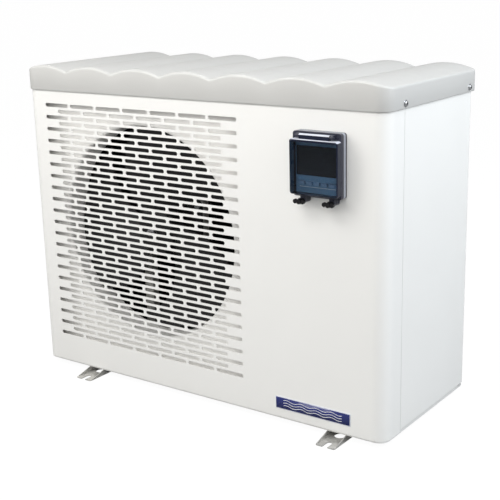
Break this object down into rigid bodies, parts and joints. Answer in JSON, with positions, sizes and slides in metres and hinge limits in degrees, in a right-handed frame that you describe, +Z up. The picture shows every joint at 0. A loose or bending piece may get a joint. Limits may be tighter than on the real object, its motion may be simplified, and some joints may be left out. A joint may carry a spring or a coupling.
{
  "type": "pool heat pump",
  "caption": "Floor-standing pool heat pump with a slotted front, waved lid, axial fan, foot rails, water unions and a hinged front controller.",
  "frame": {"origin": "centre of the footprint at floor level", "axes": "+X to the right seen from the front, +Y to the rear, +Z up; the slotted front faces -Y"},
  "size_m": [1.0576, 0.51, 0.805],
  "materials": {
    "lid_plastic": "satin moulded plastic",
    "cabinet_white": "powder coat, fine texture",
    "galvanised": "galvanised sheet",
    "zinc": "zinc plated",
    "fan_plastic": "moulded, matt",
    "motor_paint": "satin",
    "shaft_steel": "ground",
    "fin_aluminium": "hydrophilic coated fins",
    "copper": "drawn copper",
    "black_paint": "satin",
    "rubber": "matt",
    "brass": "machined",
    "shell_plastic": "moulded",
    "titanium": "drawn titanium",
    "pipe_pvc": "moulded",
    "union_grey": "moulded",
    "switch_plastic": "moulded",
    "circuit": "solder mask",
    "contactor_plastic": "moulded",
    "terminal_plastic": "moulded",
    "black_plastic": "fine texture",
    "controller_grey": "moulded",
    "seal_grey": "foamed",
    "cover_smoke": "smoked clear plastic",
    "screen_glass": "polished",
    "key_grey": "moulded",
    "badge_navy": "printed"
  },
  "bodies": {
    "cabinet": {"base_tray": "galvanised", "rail_left": "galvanised", "rail_right": "galvanised", "hex_bolts": "zinc", "drain_spout": "switch_plastic", "front_panel": "cabinet_white", "left_panel": "cabinet_white", "right_panel": "cabinet_white", "rear_panel": "cabinet_white", "rear_guard": "cabinet_white", "rear_post": "galvanised", "top_lid": "lid_plastic", "casing_screws": "zinc", "badge": "badge_navy", "fan_deck": "cabinet_white", "partition_wall": "galvanised", "motor_bracket": "galvanised", "fan_motor": "motor_paint", "evaporator_fins": "fin_aluminium", "coil_end_plates": "galvanised", "evaporator_bends": "copper", "compressor": "black_paint", "compressor_grommets": "rubber", "accumulator": "black_paint", "reversing_valve": "brass", "expansion_valve": "brass", "discharge_pipe": "copper", "suction_pipe": "copper", "gas_pipe": "copper", "liquid_pipe": "copper", "exchanger_shell": "shell_plastic", "titanium_coil": "titanium", "flow_switch": "switch_plastic", "inlet_pipe": "pipe_pvc", "outlet_pipe": "pipe_pvc", "union_tails": "pipe_pvc", "electrical_box": "galvanised", "control_board": "circuit", "terminal_block": "terminal_plastic", "contactor": "contactor_plastic", "power_gland": "black_plastic", "controller_base": "controller_grey", "controller_gasket": "seal_grey", "cover_hinge_pin": "shaft_steel", "display_panel": "controller_grey", "display_board": "circuit", "display_glass": "screen_glass"},
    "fan_rotor": {"motor_shaft": "shaft_steel", "fan_blades": "fan_plastic", "fan_nut": "shaft_steel"},
    "cover": {"controller_cover": "cover_smoke"},
    "latch_left": {"latch_left": "black_plastic"},
    "latch_right": {"latch_right": "black_plastic"},
    "union_nut_inlet": {"union_nut_inlet": "union_grey"},
    "union_nut_outlet": {"union_nut_outlet": "union_grey"},
    "key_1": {"key_1": "key_grey"},
    "key_2": {"key_2": "key_grey"},
    "key_3": {"key_3": "key_grey"},
    "key_4": {"key_4": "key_grey"},
    "key_5": {"key_5": "key_grey"}
  },
  "joints": [
    {"name": "fan_spin", "type": "hinge", "parent": "cabinet", "child": "fan_rotor", "pos_m": [-0.157, -0.12, 0.401], "axis": [0, 1, 0], "continuous": true},
    {"name": "cover_flip", "type": "hinge", "parent": "cabinet", "child": "cover", "pos_m": [0.366, -0.235, 0.689], "axis": [-1, 0, 0], "range_deg": [0, 120]},
    {"name": "latch_left_turn", "type": "hinge", "parent": "cabinet", "child": "latch_left", "pos_m": [0.33, -0.226, 0.548], "axis": [0, 1, 0], "range_deg": [0, 90]},
    {"name": "latch_right_turn", "type": "hinge", "parent": "cabinet", "child": "latch_right", "pos_m": [0.402, -0.226, 0.548], "axis": [0, 1, 0], "range_deg": [0, 90]},
    {"name": "union_nut_inlet_turn", "type": "hinge", "parent": "cabinet", "child": "union_nut_inlet", "pos_m": [0.44, 0.2215, 0.15], "axis": [0, 1, 0], "continuous": true},
    {"name": "union_nut_outlet_turn", "type": "hinge", "parent": "cabinet", "child": "union_nut_outlet", "pos_m": [0.44, 0.2215, 0.42], "axis": [0, 1, 0], "continuous": true},
    {"name": "key_1_press", "type": "slide", "parent": "cabinet", "child": "key_1", "axis": [0, 1, 0], "range_m": [0, 0.0012], "stiffness_N_per_m": 400},
    {"name": "key_2_press", "type": "slide", "parent": "cabinet", "child": "key_2", "axis": [0, 1, 0], "range_m": [0, 0.0012], "stiffness_N_per_m": 400},
    {"name": "key_3_press", "type": "slide", "parent": "cabinet", "child": "key_3", "axis": [0, 1, 0], "range_m": [0, 0.0012], "stiffness_N_per_m": 400},
    {"name": "key_4_press", "type": "slide", "parent": "cabinet", "child": "key_4", "axis": [0, 1, 0], "range_m": [0, 0.0012], "stiffness_N_per_m": 400},
    {"name": "key_5_press", "type": "slide", "parent": "cabinet", "child": "key_5", "axis": [0, 1, 0], "range_m": [0, 0.0012], "stiffness_N_per_m": 400}
  ]
}
